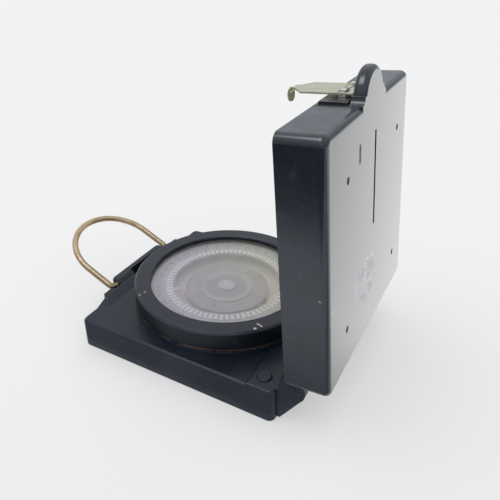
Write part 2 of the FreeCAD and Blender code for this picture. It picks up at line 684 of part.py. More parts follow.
def index_marks():
    """Two painted index pairs: two dots, and a dot beside a slanting stroke."""
    dots = [rod(f"MarkDot{number}", d.mark_radius, d.mark_proud, (*around(circle, angle), d.bezel_top))
            for number, (circle, angle) in enumerate([(d.mark_inner, d.mark_angle - d.mark_slant),
                                                      (d.mark_outer, d.mark_angle),
                                                      (d.mark_outer, d.stroke_angle - d.stroke_gap)])]
    stroke = block("MarkStroke", (0, 0, 0), (d.stroke_length, d.stroke_width, d.mark_proud))
    turn(stroke, FULL_TURN + d.stroke_angle + d.stroke_lean)
    put(stroke, (*around(d.mark_inner, d.stroke_angle), d.bezel_top))
    piece(fuse("IndexMarks", *dots, stroke), "bezel_index_marks")


def capsule_stack():
    piece(rod("DialGlass", d.glass_radius, d.glass_top - d.glass_bottom, (0, 0, d.glass_bottom)),
          "dial_glass")
    piece(tube("GlassGasket", d.gasket_inner, d.ring_clear, d.glass_top, d.bezel_lip), "glass_gasket")
    piece(tube("GlassSpacer", d.bezel_window, d.ring_clear, d.spacer_bottom, d.glass_bottom),
          "glass_spacer_ring")
    piece(tube("GraduatedRing", d.ring_inner, d.ring_clear, d.ring_bottom, d.spacer_bottom),
          "graduated_ring")
    piece(tube("RingCarrier", d.carrier_inner, d.ring_clear, d.carrier_bottom, d.ring_bottom),
          "ring_carrier")
    snap = tube("SnapRingWhole", d.snap_inner, d.ring_clear, d.snap_bottom, d.carrier_bottom)
    gap = block("SnapRingGap", (0, -d.snap_gap / 2, d.snap_bottom - LAP),
                (d.bezel_bore + LAP, d.snap_gap / 2, d.carrier_bottom + LAP))
    piece(cut("SnapRing", snap, gap), "snap_ring")
    length = d.pointer_outer - d.pointer_inner
    tab = block("IndexPointer", (0, 0, 0), (length, d.pointer_width, d.ring_bottom - d.pointer_bottom))
    angle = d.pointer_angle
    half = d.pointer_width / 2
    turn(tab, FULL_TURN + angle)
    put(tab, (d.pointer_inner * cosine(angle) + half * sine(angle),
              d.pointer_inner * sine(angle) - half * cosine(angle), d.pointer_bottom))
    piece(tab, "index_pointer")


# ---------------------------------------------------------------- card and pendulum

def card_group():
    piece(tube("CardDisc", d.jewel_bore, d.card_radius, d.card_bottom, d.card_top), "card_disc")
    piece(tube("HubDisc", d.jewel_bore, d.hub_radius, d.card_top, d.hub_top), "hub_disc")
    stem = rod("JewelStem", d.jewel_bore, d.hub_top - d.jewel_foot, (0, 0, d.jewel_foot))
    brim = rod("CapBrim", d.cap_radius, (d.cap_top - d.hub_top) / 2, (0, 0, d.hub_top))
    middle = (d.cap_top + d.hub_top) / 2
    crown = cone("CapCrown", d.cap_radius, d.cap_radius / 2, d.cap_top - middle, (0, 0, middle))
    recess = cone("JewelRecess", d.jewel_recess, as_size(0), d.jewel_apex - d.jewel_foot,
                  (0, 0, d.jewel_foot))
    piece(cut("JewelCap", fuse("CapSolid", stem, brim, crown), recess), "jewel_cap")
    half = d.magnet_length / 2
    width = d.magnet_width / 2
    low = d.card_bottom - d.magnet_height
    bars = [block(f"Magnet{number}", (-half, side * d.magnet_offset - width, low),
                  (half, side * d.magnet_offset + width, d.card_bottom))
            for number, side in enumerate((-1, 1))]
    magnets = fuse("CardMagnets", *bars)
    turn(magnets, d.rivet_angle)
    piece(magnets, "card_magnets")
    rivets = [rod(f"CardRivet{number}", d.rivet_radius, d.rivet_proud,
                  (*around(d.rivet_circle, d.rivet_angle + 2 * QUARTER * number), d.card_top))
              for number in range(2)]
    piece(fuse("CardRivets", *rivets), "card_rivets")


def pendulum():
    """The hub, the bob below it and the arm whose bent-up tip shows beside the card."""
    thick = d.swing_top - d.swing_bottom
    hub = rod("SwingHub", d.swing_outer, thick, (0, 0, d.swing_bottom))
    bob = rod("SwingBob", d.bob_radius, thick, (0, 0, d.swing_bottom), sweep=d.bob_spread)
    turn(bob, FULL_TURN + d.swing_angle - d.bob_spread / 2)
    arm = block("SwingArm", (0, 0, 0), (d.tip_outer - 2 * NEAR, d.arm_width, thick))
    turn(arm, d.swing_angle)
    half = d.arm_width / 2
    put(arm, (half * sine(d.swing_angle), -half * cosine(d.swing_angle), d.swing_bottom))
    height = d.tip_top - d.swing_bottom
    tip = rod("TipSector", d.tip_outer, height, (0, 0, d.swing_bottom), sweep=d.tip_spread)
    turn(tip, FULL_TURN + d.swing_angle - d.tip_spread / 2)
    inside = rod("TipInside", d.tip_inner, height + 2 * LAP, (0, 0, d.swing_bottom - LAP))
    wall = cut("TipWall", tip, inside)
    bore = rod("SwingBore", d.swing_inner, thick + 2 * LAP, (0, 0, d.swing_bottom - LAP))
    piece(cut("Pendulum", fuse("PendulumSolid", hub, bob, arm, wall), bore), "clinometer_pendulum")


# ---------------------------------------------------------------- lid

def open_lid(item):
    """Swing a piece drawn about the hinge axis to the lid's resting angle."""
    turn(item, d.lid_open, Vector(0, 1, 0))
    return put(item, (d.axis_across, 0, d.axis_height))


def lid_box():
    body = new_body("LidBox")
    near = -d.lid_gap
    far = -d.lid_gap - d.lid_length
    top = d.lid_depth - d.rim_drop
    slab = body.newObject("PartDesign::Pad", "LidSlab")
    slab.Profile = outline(body, "XY_Plane", rectangle(far, -d.half_width, near, d.half_width),
                           "LidSlabSketch")
    bind(slab, "Length", top)
    slab.Type2 = "Length"
    slab.SideType = "Two sides"
    bind(slab, "Length2", d.rim_drop)
    body.Tip = slab
    doc.recompute()
    slab = rounded(body, slab, is_upright, d.lid_corner, "LidCorners")
    rounded(body, slab, is_level(top), d.lid_edge, "LidEdge")
    return body


def lid_ear():
    """The half-round thumb ear that carries on the lid's outer skin past its free end."""
    far = -d.lid_gap - d.lid_length
    top = d.lid_depth - d.rim_drop
    low = top - d.ear_thick
    core = d.ear_radius - d.ear_round
    disc = [rod("EarCore", core, d.ear_thick, (far, 0, low)),
            rod("EarWaist", d.ear_radius, d.ear_thick - 2 * d.ear_round, (far, 0, low + d.ear_round)),
            ring_part("EarLowRim", core, d.ear_round, (far, 0, low + d.ear_round)),
            ring_part("EarHighRim", core, d.ear_round, (far, 0, top - d.ear_round))]
    root = block("EarRoot", (far, -d.ear_radius - d.ear_fillet, low),
                 (far + d.lid_edge + d.ear_root, d.ear_radius + d.ear_fillet, top))
    cove = block("EarCove", (far - d.ear_fillet, -d.ear_radius - d.ear_fillet, low),
                 (far, d.ear_radius + d.ear_fillet, top))
    coves = [rod(f"EarCoveCut{number}", d.ear_fillet, d.ear_thick + 2 * LAP,
                 (far - d.ear_fillet, side * (d.ear_radius + d.ear_fillet), low - LAP))
             for number, side in enumerate((-1, 1))]
    return fuse("LidEar", *disc, root, cut("EarCoves", cove, *coves))


def mirror_screw_places():
    return [(-d.lid_gap - along, d.sight_across + side * d.lid_screw_along)
            for along in (d.lid_screw_near, d.lid_screw_far) for side in (-1, 1)]


def lid_screws(name, low, high):
    return [screw(f"{name}{number}", *place, d.lid_screw_radius, d.lid_screw_head, low,
                  high - d.lid_screw_sink) for number, place in enumerate(mirror_screw_places())]


def screw_wells(name, depth):
    """Short sockets above the sunk heads of the mirror screws."""
    low = d.lid_depth - d.rim_drop - depth
    return [rod(f"{name}{number}", d.lid_screw_head, depth + LAP, (*place, low))
            for number, place in enumerate(mirror_screw_places())]


def sight_slot(name, margin=0.0):
    half = d.sight_width / 2 + margin
    return block(name, (-d.lid_gap - d.sight_far - margin, d.sight_across - half, 0),
                 (-d.lid_gap - d.sight_near + margin, d.sight_across + half, d.lid_depth + LAP))


def lug_notch(name, low, high):
    """A gap in the lid's hinge-side wall that lets the lid close over a lug and its washer."""
    return block(name, (-d.lid_gap - d.lid_wall - LAP, low, -d.rim_drop - LAP),
                 (-d.lid_gap + LAP, high, d.lug_notch))


def lid_shell():
    top = d.lid_depth - d.rim_drop
    inside = block("LidInside", (-d.lid_gap - d.lid_length + d.lid_wall, -d.half_width + d.lid_wall,
                                 -d.rim_drop - LAP),
                   (-d.lid_gap - d.lid_wall, d.half_width - d.lid_wall, top - d.lid_skin))
    barrel = rod("LidBarrel", d.barrel_radius, 2 * d.barrel_half, (0, -d.barrel_half, 0), ALONG_Y)
    web = block("LidWeb", (-d.lid_gap - LAP, -d.barrel_half, -d.rim_drop + NEAR),
                (0, d.barrel_half, d.web_top))
    bore = rod("LidBore", d.barrel_bore, 2 * d.barrel_half + 2 * LAP, (0, -d.barrel_half - LAP, 0), ALONG_Y)
    hollow = cut("LidHollow", fuse("LidOutside", lid_box(), lid_ear()), inside)
    solid = fuse("LidSolid", hollow, barrel, web)
    shell = cut("LidShell", solid, bore, sight_slot("LidSight"),
                *lid_screws("LidScrewHole", d.lid_screw_foot, top),
                *screw_wells("LidScrewWell", d.lid_screw_sink),
                lug_notch("NearLugNotch", -d.lug_outer - d.lug_play, -d.barrel_half),
                lug_notch("FarLugNotch", d.barrel_half, d.lug_outer + d.lug_play))
    piece(open_lid(shell), "lid_shell")


def lid_plate(name, low, high):
    across = d.mirror_length
    near = -d.lid_gap - d.mirror_near
    plate = block(name + "Plate", (near - across, -d.mirror_half, low), (near, d.mirror_half, high))
    holes = [rod(f"{name}Hole{number}", d.lid_screw_radius + NEAR, d.lid_depth, (*place, 0))
             for number, place in enumerate(mirror_screw_places())]
    return cut(name, plate, sight_slot(name + "Sight", LAP), *holes)


def mirror_group():
    ceiling = d.lid_depth - d.rim_drop - d.lid_skin
    seat = ceiling - d.backing_thick
    face = seat - d.mirror_thick
    piece(open_lid(lid_plate("MirrorBacking", seat, ceiling)), "mirror_backing")
    piece(open_lid(lid_plate("Mirror", face, seat)), "mirror")
    foot = face - d.nut_thick
    top = d.lid_depth - d.rim_drop
    piece(open_lid(fuse("MirrorScrews", *lid_screws("MirrorScrew", foot, top))), "mirror_screws")
    nuts = []
    for number, place in enumerate(mirror_screw_places()):
        disc = rod(f"NutDisc{number}", d.nut_radius, d.nut_thick, (*place, foot))
        hole = rod(f"NutBore{number}", d.lid_screw_radius, d.nut_thick, (*place, foot))
        nuts.append(cut(f"Nut{number}", disc, hole))
    piece(open_lid(fuse("MirrorNuts", *nuts)), "mirror_nuts")


# ---------------------------------------------------------------- spring catch on the lid's free end

def catch_pivot():
    """The catch's hinge line, from the lid's hinge axis with the lid shut."""
    return (-d.lid_gap - d.lid_length - d.catch_stand, d.catch_height - d.rim_drop)


def catch_rods(name, radius, spans):
    x, z = catch_pivot()
    return [rod(f"{name}{number}", radius, high - low, (x, low, z), ALONG_Y)
            for number, (low, high) in enumerate(spans)]


def both_sides(inner, outer):
    return [(-outer, -inner), (inner, outer)]


def latch_bracket():
    end = -d.lid_gap - d.lid_length
    plate = block("BracketPlate", (end - d.bracket_thick, -d.bracket_half, d.bracket_low - d.rim_drop),
                  (end, d.bracket_half, d.bracket_high - d.rim_drop))
    x, z = catch_pivot()
    knuckles = catch_rods("Knuckle", d.knuckle_radius, both_sides(d.knuckle_inner, d.knuckle_outer))
    webs = [block(f"KnuckleWeb{number}", (x, low, z - d.knuckle_radius),
                  (end - d.bracket_thick / 2, high, z + d.knuckle_radius))
            for number, (low, high) in enumerate(both_sides(d.knuckle_inner, d.knuckle_outer))]
    bores = catch_rods("KnuckleBore", d.catch_pin, [(-d.leaf_half, d.leaf_half)])
    piece(open_lid(cut("LatchBracket", fuse("BracketSolid", plate, *knuckles, *webs), *bores)),
          "latch_bracket")
    pin = catch_rods("LatchPin", d.catch_pin, [(-d.knuckle_outer, d.knuckle_outer)])
    heads = catch_rods("LatchPinHead", d.catch_pin + d.pin_head,
                       both_sides(d.knuckle_outer, d.knuckle_outer + d.pin_head))
    piece(open_lid(fuse("LatchPinWhole", *pin, *heads)), "latch_pin")
    coils = [cut(f"TorsionCoil{number}", *catch_rods(f"CoilOutside{number}", d.coil_outer, [span]),
                 *catch_rods(f"CoilInside{number}", d.coil_inner, [span]))
             for number, span in enumerate(both_sides(d.coil_near, d.coil_far))]
    piece(open_lid(fuse("LatchSprings", *coils)), "latch_springs")


def leaf_hook(outer, low):
    """The leaf's end, rolled through a quarter turn to a round-tipped tongue."""
    middle = outer + d.hook_round
    axis = (middle, -d.neck_half, low + d.hook_round)
    roll = cut("HookRoll", rod("HookOutside", d.hook_round, 2 * d.neck_half, axis, ALONG_Y),
               rod("HookInside", d.hook_round - d.leaf_thick, 2 * d.neck_half, axis, ALONG_Y))
    quarter = doc.addObject("Part::Common", "HookQuarter")
    quarter.Base = roll
    quarter.Tool = block("HookCorner", (outer, -d.neck_half, low),
                         (middle, d.neck_half, low + d.hook_round))
    tip = outer + d.hook_reach - d.neck_half
    return [quarter, rod("HookTip", d.neck_half, d.leaf_thick, (tip, 0, low)),
            block("HookTongue", (middle, -d.neck_half, low), (tip, d.neck_half, low + d.leaf_thick))]


def latch_leaf():
    """The flat spring leaf, its pivot barrel, its neck and the hook that bends in under the base."""
    end = -d.lid_gap - d.lid_length
    outer = end - d.catch_stand - d.leaf_thick / 2
    body = new_body("LeafPlate")
    drop = d.rim_drop
    side = [(d.leaf_half, d.leaf_high - drop), (d.leaf_half, d.leaf_low - drop),
            (d.hip_half, d.hip_low - drop), (d.neck_half, d.neck_low - drop),
            (d.neck_half, d.hook_low + d.hook_round - drop)]
    pad(body, "YZ_Plane", side + [(-across, height) for across, height in reversed(side)],
        d.leaf_thick, "LeafPad")
    put(body, (outer, 0, 0))
    x, z = catch_pivot()
    windows = [block(f"LeafWindow{number}", (outer - LAP, low, z - d.window_half),
                     (outer + d.leaf_thick + LAP, high, z + d.window_half))
               for number, (low, high) in enumerate(both_sides(d.window_inner, d.window_outer))]
    plate = cut("LeafWindows", body, *windows)
    barrel = catch_rods("LeafBarrel", d.catch_barrel, [(-d.catch_barrel_half, d.catch_barrel_half)])
    bore = catch_rods("LeafBore", d.catch_bore, [(-d.catch_barrel_half - LAP, d.catch_barrel_half + LAP)])
    solid = fuse("LeafSolid", plate, *barrel, *leaf_hook(outer, d.hook_low - drop))
    piece(open_lid(cut("LatchLeaf", solid, *bore)), "latch_leaf")


def ear_rivets():
    face = d.lid_depth - d.rim_drop - d.ear_thick
    end = -d.lid_gap - d.lid_length
    heads = [cone(f"EarRivet{number}", d.ear_rivet_radius / 2, d.ear_rivet_radius, d.ear_rivet_radius / 2,
                  (end - d.ear_rivet_out, side * d.ear_rivet_along, face - d.ear_rivet_radius / 2))
             for number, side in enumerate((-1, 1))]
    piece(open_lid(fuse("EarRivets", *heads)), "ear_rivets")


# ---------------------------------------------------------------- bail

def bail_wire():
    """A wire loop: two feet that turn in to the block, two legs and a half circle."""
    parts = [ring_part("BailBow", d.bail_radius, d.bail_wire, (-d.bail_straight, 0, 0),
                       Rotation(Vector(0, 0, 1), QUARTER), 2 * QUARTER)]
    leg = d.bail_straight - d.bail_bend
    for number, side in enumerate((-1, 1)):
        edge = side * d.bail_radius
        parts.append(rod(f"BailLeg{number}", d.bail_wire, leg, (-d.bail_straight, edge, 0), ALONG_X))
        start = 3 * QUARTER if side < 0 else 0
        parts.append(ring_part(f"BailBend{number}", d.bail_bend, d.bail_wire,
                               (-d.bail_bend, edge - side * d.bail_bend, 0),
                               Rotation(Vector(0, 0, 1), start), QUARTER))
        foot = d.bail_radius - d.bail_bend - d.bail_foot
        low = d.bail_foot if side > 0 else -d.bail_foot - foot
        parts.append(rod(f"BailFoot{number}", d.bail_wire, foot, (0, low, 0), ALONG_Y))
    loop = fuse("BailWire", *parts)
    turn(loop, d.bail_tilt, Vector(0, 1, 0))
    piece(put(loop, (d.bail_across, 0, d.bail_height)), "bail_wire")


# ---------------------------------------------------------------- checks and export

def check_document():
    doc.recompute()
    for item in doc.Objects:
        faults = [state for state in item.State if state in ("Invalid", "Error")]
        if faults:
            raise RuntimeError(f"{item.Name}: {faults}")
    for item in PIECES:
        if item.Shape.isNull() or not item.Shape.isValid() or not item.Shape.Solids:
            raise RuntimeError(f"{item.Label}: bad shape")


def export():
    os.makedirs("parts", exist_ok=True)
    for item in PIECES:
        item.Shape.exportStep(f"parts/{item.Label}.step")
        box = item.Shape.BoundBox
        print(f"{item.Label:24s} solids {len(item.Shape.Solids):2d}  volume {item.Shape.Volume:10.3f}  "
              f"x {box.XMin:7.2f} {box.XMax:7.2f}  y {box.YMin:7.2f} {box.YMax:7.2f}  "
              f"z {box.ZMin:6.2f} {box.ZMax:6.2f}")


for build in (base_case, base_fittings, bail_block, pivot_group, wave_spring, lift_gear, bezel_ring,
              index_marks, capsule_stack, card_group, pendulum, lid_shell, mirror_group, latch_bracket,
              latch_leaf, ear_rivets, bail_wire):
    build()
check_document()
export()
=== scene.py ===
import bmesh
import bpy
import json
import math
from mathutils import Matrix, Vector


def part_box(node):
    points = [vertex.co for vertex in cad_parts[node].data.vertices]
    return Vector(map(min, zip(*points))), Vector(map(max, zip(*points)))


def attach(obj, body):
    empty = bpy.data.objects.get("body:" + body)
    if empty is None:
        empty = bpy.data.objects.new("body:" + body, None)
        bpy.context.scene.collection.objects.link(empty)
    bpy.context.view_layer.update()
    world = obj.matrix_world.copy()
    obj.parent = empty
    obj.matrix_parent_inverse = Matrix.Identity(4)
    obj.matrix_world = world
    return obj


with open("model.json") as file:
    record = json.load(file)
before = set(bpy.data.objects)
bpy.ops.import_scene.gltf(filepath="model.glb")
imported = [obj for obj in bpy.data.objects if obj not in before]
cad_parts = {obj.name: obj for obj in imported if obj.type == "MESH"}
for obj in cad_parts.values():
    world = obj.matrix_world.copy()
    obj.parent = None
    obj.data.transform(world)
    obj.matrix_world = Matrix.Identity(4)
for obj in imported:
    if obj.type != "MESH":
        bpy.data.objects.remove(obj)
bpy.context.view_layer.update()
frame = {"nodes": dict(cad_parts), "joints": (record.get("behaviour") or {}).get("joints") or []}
NODES = frame["nodes"]
JOINTS = {joint["name"]: joint for joint in frame["joints"]}

MM = 0.001
FLAT = 0.02 * MM
FULL_TURN = 360
ORIGIN = Vector()
ALONG = Vector((1, 0, 0))
SIDEWAYS = Vector((0, 1, 0))
UPRIGHT = Vector((0, 0, 1))


# ---------------------------------------------------------------- the lid's own directions

HINGE = Vector(JOINTS["lid_hinge"]["pos_m"])
LID_ANGLE = -math.radians(JOINTS["lid_hinge"]["range_deg"][0])
LID_TURN = Matrix.Rotation(LID_ANGLE, 3, "Y")
LID_UP = LID_TURN @ Vector((-1, 0, 0))
LID_OUT = LID_TURN @ Vector((0, 0, 1))


def on_lid(along, across, depth=0.0):
    """A place on the open lid, in millimetres up from its hinge axis, across it and out from the axis."""
    return HINGE + (LID_UP * along + SIDEWAYS * across + LID_OUT * depth) * MM


def polar(radius, degrees, height):
    angle = math.radians(degrees)
    return Vector((radius * math.cos(angle), radius * math.sin(angle), height))


# ---------------------------------------------------------------- procedural materials

# a Mix node's two inputs and its output, by their places on the node
MIX_NUMBERS = (2, 3, 0)
MIX_COLOURS = (6, 7, 2)
BEVEL_SAMPLES = 4


class Look:
    """One material: its Principled shader and the nodes that feed it, in the piece's own coordinates."""

    def __init__(self, name, colour, roughness, metallic=0.0, **constants):
        self.material = bpy.data.materials.new(name)
        self.material.use_nodes = True
        self.nodes = self.material.node_tree.nodes
        self.links = self.material.node_tree.links
        self.shader = self.nodes["Principled BSDF"]
        self.place = self.nodes.new("ShaderNodeTexCoord").outputs["Object"]
        self.colour = self.rgb(colour)
        self.shader.inputs["Roughness"].default_value = roughness
        self.shader.inputs["Metallic"].default_value = metallic
        for socket, value in constants.items():
            self.shader.inputs[socket.replace("_", " ")].default_value = value

    def node(self, kind, inputs, **settings):
        node = self.nodes.new("ShaderNode" + kind)
        for key, value in settings.items():
            setattr(node, key, value)
        for key, value in inputs.items():
            self.feed(node.inputs[key], value)
        return node

    def feed(self, socket, value):
        if isinstance(value, bpy.types.NodeSocket):
            self.links.new(value, socket)
        else:
            socket.default_value = value

    def rgb(self, colour):
        return (*colour, 1.0)

    def noise(self, size, detail=2.0, seed=0.0):
        """Noise from 0 to 1 whose blotches are about size metres across."""
        spread = self.node("Mapping", {"Vector": self.place, "Location": (seed, seed, seed)})
        return self.node("TexNoise", {"Vector": spread.outputs[0], "Scale": 1 / size,
                                      "Detail": detail}).outputs["Fac"]

    def between(self, value, low, high, start=0.0, end=1.0):
        """start where value is low, end where it is high, and a smooth change in between."""
        return self.node("MapRange", {"Value": value, "From Min": low, "From Max": high,
                                      "To Min": start, "To Max": end},
                         interpolation_type="SMOOTHSTEP").outputs["Result"]

    def sums(self, operation, a, b=0.5):
        return self.node("Math", {0: a, 1: b}, operation=operation).outputs[0]

    def times(self, first, *others):
        for other in others:
            first = self.sums("MULTIPLY", first, other)
        return first

    def most(self, first, *others):
        for other in others:
            first = self.sums("MAXIMUM", first, other)
        return first

    def blend(self, share, a, b):
        a, b = (item if isinstance(item, bpy.types.NodeSocket) else self.rgb(item[:3]) for item in (a, b))
        first, second, result = MIX_COLOURS
        return self.node("Mix", {"Factor": share, first: a, second: b}, data_type="RGBA").outputs[result]

    def distance(self, point):
        return self.node("VectorMath", {0: self.place, 1: point}, operation="DISTANCE").outputs["Value"]

    def along(self, direction, start):
        """How far the point is from start in one direction, in metres."""
        offset = self.node("VectorMath", {0: self.place, 1: start}, operation="SUBTRACT").outputs[0]
        return self.node("VectorMath", {0: offset, 1: direction}, operation="DOT_PRODUCT").outputs["Value"]

    def span(self, direction, start, half, soft):
        """1 within half of start in one direction, then down to 0 over the distance soft."""
        reach = self.sums("ABSOLUTE", self.along(direction, start))
        return self.between(reach, half, half + soft, 1.0, 0.0)

    def spot(self, point, radius, rough=0.0):
        """1 inside a small ragged spot round a point."""
        reach = self.distance(point)
        if rough:
            ragged = self.between(self.noise(radius, 3), 0.0, 1.0, -rough * radius, rough * radius)
            reach = self.sums("ADD", reach, ragged)
        return self.between(reach, radius * 0.7, radius * 1.1, 1.0, 0.0)

    def edges(self, radius):
        """1 on sharp outer edges and 0 on open faces."""
        soft = self.node("Bevel", {"Radius": radius}, samples=BEVEL_SAMPLES).outputs[0]
        true = self.node("NewGeometry", {}).outputs["Normal"]
        facing = self.node("VectorMath", {0: soft, 1: true}, operation="DOT_PRODUCT").outputs["Value"]
        return self.between(facing, 0.995, 0.85)

    def paint(self, share, colour):
        self.colour = self.blend(share, self.colour, colour)

    def vary(self, socket, share, start, end):
        self.feed(self.shader.inputs[socket], self.between(share, 0.0, 1.0, start, end))

    def bump(self, height, depth, strength=1.0, corner=0.0):
        inputs = {"Height": height, "Distance": depth, "Strength": strength}
        if corner:
            inputs["Normal"] = self.node("Bevel", {"Radius": corner}, samples=BEVEL_SAMPLES).outputs[0]
        self.feed(self.shader.inputs["Normal"], self.node("Bump", inputs).outputs[0])

    def done(self):
        self.feed(self.shader.inputs["Base Color"], self.colour)
        return self.material


def enamel(name, colour, dusty, roughness, peel, chips=0.0, level=0.5):
    """Old stoved enamel over brass: mottled, faintly dusty, with a slight orange peel and worn edges."""
    look = Look(name, colour, roughness, IOR=1.5, Specular_IOR_Level=level)
    cloud = look.noise(9 * MM, 3)
    look.paint(look.between(cloud, 0.35, 0.75, 0.0, 0.8), dusty)
    dust = look.between(look.noise(0.35 * MM, 4), 0.62, 0.75)
    look.paint(look.times(dust, 0.08), (0.20, 0.20, 0.22))
    scuffs = look.between(look.noise(2.2 * MM, 5, seed=3.0), 0.58, 0.70)
    look.paint(look.times(scuffs, 0.05), (0.16, 0.17, 0.20))
    bare = look.times(look.edges(0.35 * MM), look.between(look.noise(1.6 * MM, 4), 0.50, 0.66), chips)
    look.paint(bare, (0.30, 0.21, 0.13))
    look.vary("Roughness", look.sums("ADD", look.times(cloud, 0.5), look.times(scuffs, 0.5)),
              roughness * 0.75, roughness * 1.35)
    look.vary("Metallic", bare, 0.0, 1.0)
    waves = look.sums("ADD", look.noise(0.9 * MM, 2), look.times(look.noise(5 * MM, 2), 2.0))
    look.bump(waves, 0.02 * MM, peel, corner=0.15 * MM)
    return look


# colour, dusty colour, roughness, depth of the orange peel and share of worn edges
LID_ENAMEL = ((0.008, 0.012, 0.019), (0.014, 0.019, 0.028), 0.15, 0.25, 0.4)
PATCH_CENTRE = on_lid(18.9, -3.9)
PATCH_HALF_TALL, PATCH_HALF_WIDE = 7.0 * MM, 9.5 * MM
SKIN_START, SKIN_FULL = 9.4 * MM, 9.8 * MM


def lid_enamel():
    """The lid's glossy enamel with its rubbed patch, its scratch and its chips down to brass."""
    look = enamel("lid_enamel", *LID_ENAMEL)
    skin = look.between(look.along(LID_OUT, HINGE), SKIN_START, SKIN_FULL)
    tall = (LID_UP * 0.94 + SIDEWAYS * 0.33).normalized()
    wide = tall.cross(LID_OUT)
    mottle = look.noise(2.6 * MM, 2, seed=7.0)
    reach = [look.sums("POWER", look.times(look.along(way, PATCH_CENTRE), 1 / half), 2.0)
             for way, half in ((tall, PATCH_HALF_TALL), (wide, PATCH_HALF_WIDE))]
    ragged = look.times(look.noise(4 * MM, 3, seed=9.0), 1.2)
    outline = look.sums("ADD", look.sums("ADD", *reach), ragged)
    rub = look.times(skin, look.between(outline, 1.1, 1.7, 1.0, 0.0), look.between(mottle, 0.28, 0.55))
    look.paint(look.times(rub, 0.5), (0.20, 0.18, 0.24))
    pale = look.between(look.noise(1.8 * MM, 2, seed=2.0), 0.54, 0.76)
    look.paint(look.times(rub, pale, 0.6), (0.60, 0.58, 0.64))
    scratch = look.times(skin, look.span(LID_UP, on_lid(53, 0), 1.6 * MM, 1.2 * MM),
                         look.span(SIDEWAYS, on_lid(0, -10.2), 0.4 * MM, 0.5 * MM))
    look.paint(look.times(scratch, 0.8), (0.002, 0.003, 0.004))
    look.vary("Roughness", look.most(look.times(rub, 0.4), scratch), 0.15, 0.62)
    # The top end face is painted paler and bluer in mottled patches: partly scuffed paint, partly painted
    # sheen standing in for its bluish highlights.
    end = look.span(LID_UP, on_lid(62.8, 0), 0.3 * MM, 0.4 * MM)
    scuffs_and_sheen = look.between(look.noise(3 * MM, 4, seed=5.0), 0.35, 0.65, 0.2, 1.0)
    look.paint(look.times(end, scuffs_and_sheen), (0.038, 0.048, 0.064))
    chip = look.most(look.times(look.spot(on_lid(28.1, -30.0, 8.2), 0.30 * MM, 0.9), 0.5),
                     look.spot(on_lid(24.5, -28.0, 9.7), 0.34 * MM, 0.6))
    look.paint(chip, (0.50, 0.42, 0.16))
    return look.done()


def base_enamel():
    """The base's enamel outside, with the round well under the dial painted pale silver: a guessed
    silvering that partly stands in as painted light for the dim well.
    """
    look = enamel("base_enamel", (0.007, 0.012, 0.023), (0.015, 0.022, 0.037), 0.42, 0.6, 0.3, 0.30)
    level = look.node("VectorMath", {0: look.place, 1: ALONG + SIDEWAYS}, operation="MULTIPLY").outputs[0]
    radius = look.node("VectorMath", {0: level}, operation="LENGTH").outputs["Value"]
    # Painted light in part: the well under the dial is painted pale to lift it out of the shade under the
    # glass.
    inside = look.between(radius, 25.1 * MM, 25.3 * MM, 1.0, 0.0)
    above = look.between(look.along(UPRIGHT, ORIGIN), 2.8 * MM, 2.9 * MM)
    look.paint(look.times(inside, above), (0.72, 0.68, 0.62))
    return look.done()


def bezel_enamel():
    """The bezel's duller enamel, with a painted highlight on its rim, painted shade darkening its side, and
    a brown line at its foot.
    """
    look = enamel("bezel_enamel", (0.011, 0.015, 0.025), (0.017, 0.022, 0.034), 0.40, 0.5, 0.15, 0.30)
    height = look.along(UPRIGHT, ORIGIN)
    # Painted shade: the bezel's upright side, below its top, is painted near-black for the shade it stands
    # in.
    side = look.between(height, 15.2 * MM, 15.7 * MM, 1.0, 0.0)
    look.paint(look.times(side, 0.8), (0.003, 0.005, 0.008))
    streaks = look.between(look.noise(4 * MM, 3), 0.35, 0.60)
    low = look.span(UPRIGHT, UPRIGHT * 10.75 * MM, 0.15 * MM, 0.2 * MM)
    look.paint(look.times(low, streaks, 0.6), (0.17, 0.11, 0.07))
    # Painted highlight: a pale line along the rim's sharp outer edges, standing in for the light caught
    # there.
    rim = look.between(height, 15.7 * MM, 16.0 * MM)
    look.paint(look.times(rim, look.edges(0.4 * MM), 0.5), (0.10, 0.12, 0.16))
    return look.done()


def bracket_enamel():
    """The catch bracket: its plate enamelled with the lid, its knuckles bright nickel with brown specks."""
    look = enamel("bracket_enamel", *LID_ENAMEL)
    knuckles = look.between(look.along(LID_UP, HINGE), 63.2 * MM, 63.5 * MM)
    look.paint(knuckles, (0.72, 0.70, 0.66))
    specks = look.between(look.noise(0.8 * MM, 3), 0.55, 0.66)
    look.paint(look.times(knuckles, specks, 0.8), (0.34, 0.24, 0.13))
    look.vary("Metallic", knuckles, 0.0, 1.0)
    look.vary("Roughness", knuckles, 0.18, 0.28)
    return look.done()


def plain_metal(name, colour, stain, roughness, patches=1.7 * MM, share=0.7, relief=0.5):
    """A bare metal with a fine grain and patches of tarnish."""
    look = Look(name, colour, roughness, metallic=1.0)
    tarnish = look.between(look.noise(patches, 4), 0.45, 0.70)
    look.paint(look.times(tarnish, share), stain)
    fine = look.noise(0.5 * MM, 3)
    look.vary("Roughness", look.sums("ADD", look.times(tarnish, 0.5), look.times(fine, 0.5)),
              roughness * 0.7, roughness * 1.4)
    look.bump(fine, 0.01 * MM, relief, corner=0.08 * MM)
    return look


def bail_look():
    """The bail's brass wire, browner towards its feet."""
    look = plain_metal("bail_brass", (0.43, 0.335, 0.215), (0.29, 0.205, 0.12), 0.42, 3.5 * MM, 0.6, 0.15)
    foot = look.between(look.along(ALONG, ORIGIN), -50 * MM, -36 * MM)
    look.paint(look.times(foot, 0.75), (0.20, 0.15, 0.10))
    return look.done()


